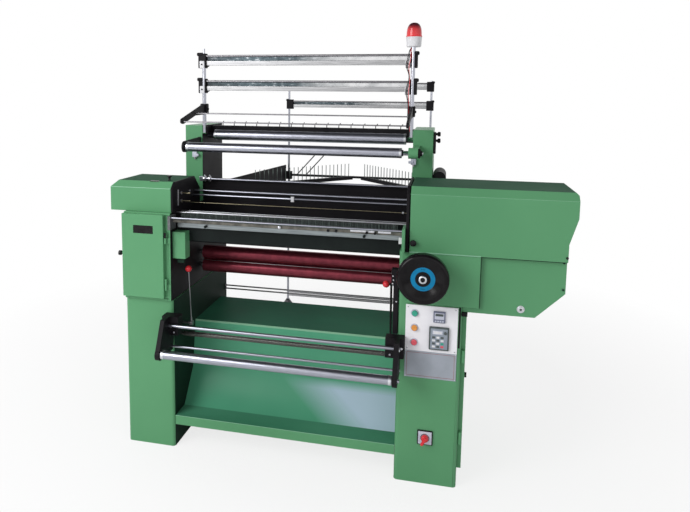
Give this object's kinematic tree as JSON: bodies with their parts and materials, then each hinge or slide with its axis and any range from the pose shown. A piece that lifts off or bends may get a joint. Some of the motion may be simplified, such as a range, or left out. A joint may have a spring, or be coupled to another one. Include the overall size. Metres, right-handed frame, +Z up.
{
  "type": "crochet knitting machine",
  "caption": "Floor-standing crochet knitting machine with green cast columns and covers, needle zone, take-down and take-up rollers, yarn rails, signal lamp and a rear bobbin creel.",
  "frame": {"origin": "middle of the machine's box, on the floor", "axes": "+X to the machine's right as the operator faces it, +Y from the operator to the creel at the back, +Z up"},
  "size_m": [1.99, 2.3009, 1.961],
  "materials": {
    "green_enamel": "gloss enamel",
    "black_paint": "satin",
    "chrome": "polished",
    "steel": "turned",
    "cast_iron": "as cast",
    "rubber": "matte",
    "panel_aluminium": "satin",
    "grey_plastic": "satin",
    "black_plastic": "gloss",
    "green_plastic": "gloss",
    "orange_plastic": "gloss",
    "red_plastic": "gloss",
    "maroon_rubber": "satin",
    "white_plastic": "gloss",
    "lamp_red": "gloss",
    "cable_plastic": "satin"
  },
  "bodies": {
    "frame": {"left_column": "green_enamel", "right_column": "green_enamel", "rear_beam": "green_enamel", "chute_tray": "green_enamel", "left_gearbox": "green_enamel", "left_hood": "green_enamel", "end_plates": "black_paint", "right_hood": "green_enamel", "right_lower_cover": "green_enamel", "drive_panel": "green_enamel", "cover_knobs": "black_plastic", "motor": "cast_iron", "drive_belt": "rubber", "control_panel": "panel_aluminium", "nameplate": "panel_aluminium", "panel_displays": "grey_plastic", "switch_plate": "grey_plastic", "door_hinges": "green_enamel", "takeup_brackets": "black_paint", "takeup_bars": "chrome", "needle_bed": "black_paint", "needle_brackets": "green_enamel", "front_rods": "chrome", "cross_beam": "black_paint", "left_upper_column": "green_enamel", "right_upper_column": "green_enamel", "roller_arms": "black_paint", "hook_beam": "black_paint", "front_posts": "chrome", "yarn_rails": "panel_aluminium", "yarn_arms": "black_paint", "lamp_base": "white_plastic", "lamp_dome": "lamp_red", "lamp_cable": "cable_plastic", "creel_posts": "chrome", "creel_rods": "panel_aluminium", "creel_wings": "black_paint", "creel_side_plates": "black_paint"},
    "left_door": {"left_door": "green_enamel"},
    "side_door": {"side_door": "green_enamel"},
    "drive": {"handwheel": "black_plastic", "main_shaft": "steel", "main_pulley": "cast_iron"},
    "cam": {"cam_shaft": "steel"},
    "motor_rotor": {"motor_pulley": "steel"},
    "lower_roller": {"lower_roller": "maroon_rubber"},
    "upper_nip_roller": {"upper_nip_roller": "maroon_rubber"},
    "takeup_roller": {"takeup_roller": "chrome"},
    "ribbed_shaft": {"ribbed_shaft": "steel"},
    "upper_roller": {"upper_roller": "chrome"},
    "guide_roller": {"guide_roller": "chrome"},
    "left_lever": {"left_lever": "red_plastic"},
    "right_lever": {"right_lever": "red_plastic"},
    "needle_bar": {"needle_bar": "panel_aluminium"},
    "weft_bar_front": {"weft_bar_front": "chrome"},
    "weft_bar_rear": {"weft_bar_rear": "chrome"},
    "start_button": {"start_button": "green_plastic"},
    "jog_button": {"jog_button": "orange_plastic"},
    "stop_button": {"stop_button": "red_plastic"},
    "switch_knob": {"switch_knob": "red_plastic"}
  },
  "joints": [
    {"name": "main_shaft_spin", "type": "hinge", "parent": "frame", "child": "drive", "pos_m": [0.421, -0.9845, 0.921], "axis": [0, 1, 0], "continuous": true},
    {"name": "cam_shaft_spin", "type": "hinge", "parent": "frame", "child": "cam", "pos_m": [-0.1845, -0.7345, 0.961], "axis": [1, 0, 0], "continuous": true},
    {"name": "motor_spin", "type": "hinge", "parent": "frame", "child": "motor_rotor", "pos_m": [0.421, -0.3845, 0.33], "axis": [0, 1, 0], "continuous": true},
    {"name": "lower_roller_spin", "type": "hinge", "parent": "frame", "child": "lower_roller", "pos_m": [-0.1845, -0.6345, 0.781], "axis": [1, 0, 0], "continuous": true},
    {"name": "upper_nip_spin", "type": "hinge", "parent": "frame", "child": "upper_nip_roller", "pos_m": [-0.1845, -0.6345, 0.8474], "axis": [1, 0, 0], "continuous": true},
    {"name": "takeup_roller_spin", "type": "hinge", "parent": "frame", "child": "takeup_roller", "pos_m": [-0.1845, -1.1245, 0.505], "axis": [1, 0, 0], "continuous": true},
    {"name": "ribbed_shaft_spin", "type": "hinge", "parent": "frame", "child": "ribbed_shaft", "pos_m": [-0.1845, -0.8965, 0.518], "axis": [1, 0, 0], "continuous": true},
    {"name": "upper_roller_spin", "type": "hinge", "parent": "frame", "child": "upper_roller", "pos_m": [-0.1845, -0.5445, 1.43], "axis": [1, 0, 0], "continuous": true},
    {"name": "guide_roller_spin", "type": "hinge", "parent": "frame", "child": "guide_roller", "pos_m": [-0.1845, -0.8145, 1.389], "axis": [1, 0, 0], "continuous": true},
    {"name": "left_lever_tilt", "type": "hinge", "parent": "frame", "child": "left_lever", "pos_m": [-0.645, -0.8805, 0.565], "axis": [1, 0, 0], "range_deg": [-20, 15]},
    {"name": "right_lever_tilt", "type": "hinge", "parent": "frame", "child": "right_lever", "pos_m": [0.284, -0.8805, 0.565], "axis": [1, 0, 0], "range_deg": [-20, 15]},
    {"name": "needle_bar_stroke", "type": "slide", "parent": "frame", "child": "needle_bar", "axis": [0, 1, 0], "range_m": [-0.006, 0.006]},
    {"name": "weft_front_shog", "type": "slide", "parent": "frame", "child": "weft_bar_front", "axis": [1, 0, 0], "range_m": [-0.025, 0.025]},
    {"name": "weft_rear_shog", "type": "slide", "parent": "frame", "child": "weft_bar_rear", "axis": [1, 0, 0], "range_m": [-0.025, 0.025]},
    {"name": "start_press", "type": "slide", "parent": "frame", "child": "start_button", "axis": [0, 1, 0], "range_m": [0, 0.003], "stiffness_N_per_m": 600, "springref_m": -0.001},
    {"name": "jog_press", "type": "slide", "parent": "frame", "child": "jog_button", "axis": [0, 1, 0], "range_m": [0, 0.003], "stiffness_N_per_m": 600, "springref_m": -0.001},
    {"name": "stop_press", "type": "slide", "parent": "frame", "child": "stop_button", "axis": [0, 1, 0], "range_m": [0, 0.003], "stiffness_N_per_m": 600, "springref_m": -0.001},
    {"name": "main_switch_turn", "type": "hinge", "parent": "frame", "child": "switch_knob", "pos_m": [0.447, -0.9845, 0.208], "axis": [0, 1, 0], "range_deg": [0, 90]},
    {"name": "left_door_swing", "type": "hinge", "parent": "frame", "child": "left_door", "pos_m": [-0.713, -1.0045, 0.9], "axis": [0, 0, 1], "range_deg": [0, 100]},
    {"name": "side_door_swing", "type": "hinge", "parent": "frame", "child": "side_door", "pos_m": [0.589, -0.9645, 0.4], "axis": [0, 0, -1], "range_deg": [0, 110]}
  ],
  "couplings": [
    {"joint": "cam_shaft_spin", "follows": "main_shaft_spin", "ratio": 1},
    {"joint": "motor_spin", "follows": "main_shaft_spin", "ratio": 2},
    {"joint": "upper_nip_spin", "follows": "lower_roller_spin", "ratio": -1}
  ]
}
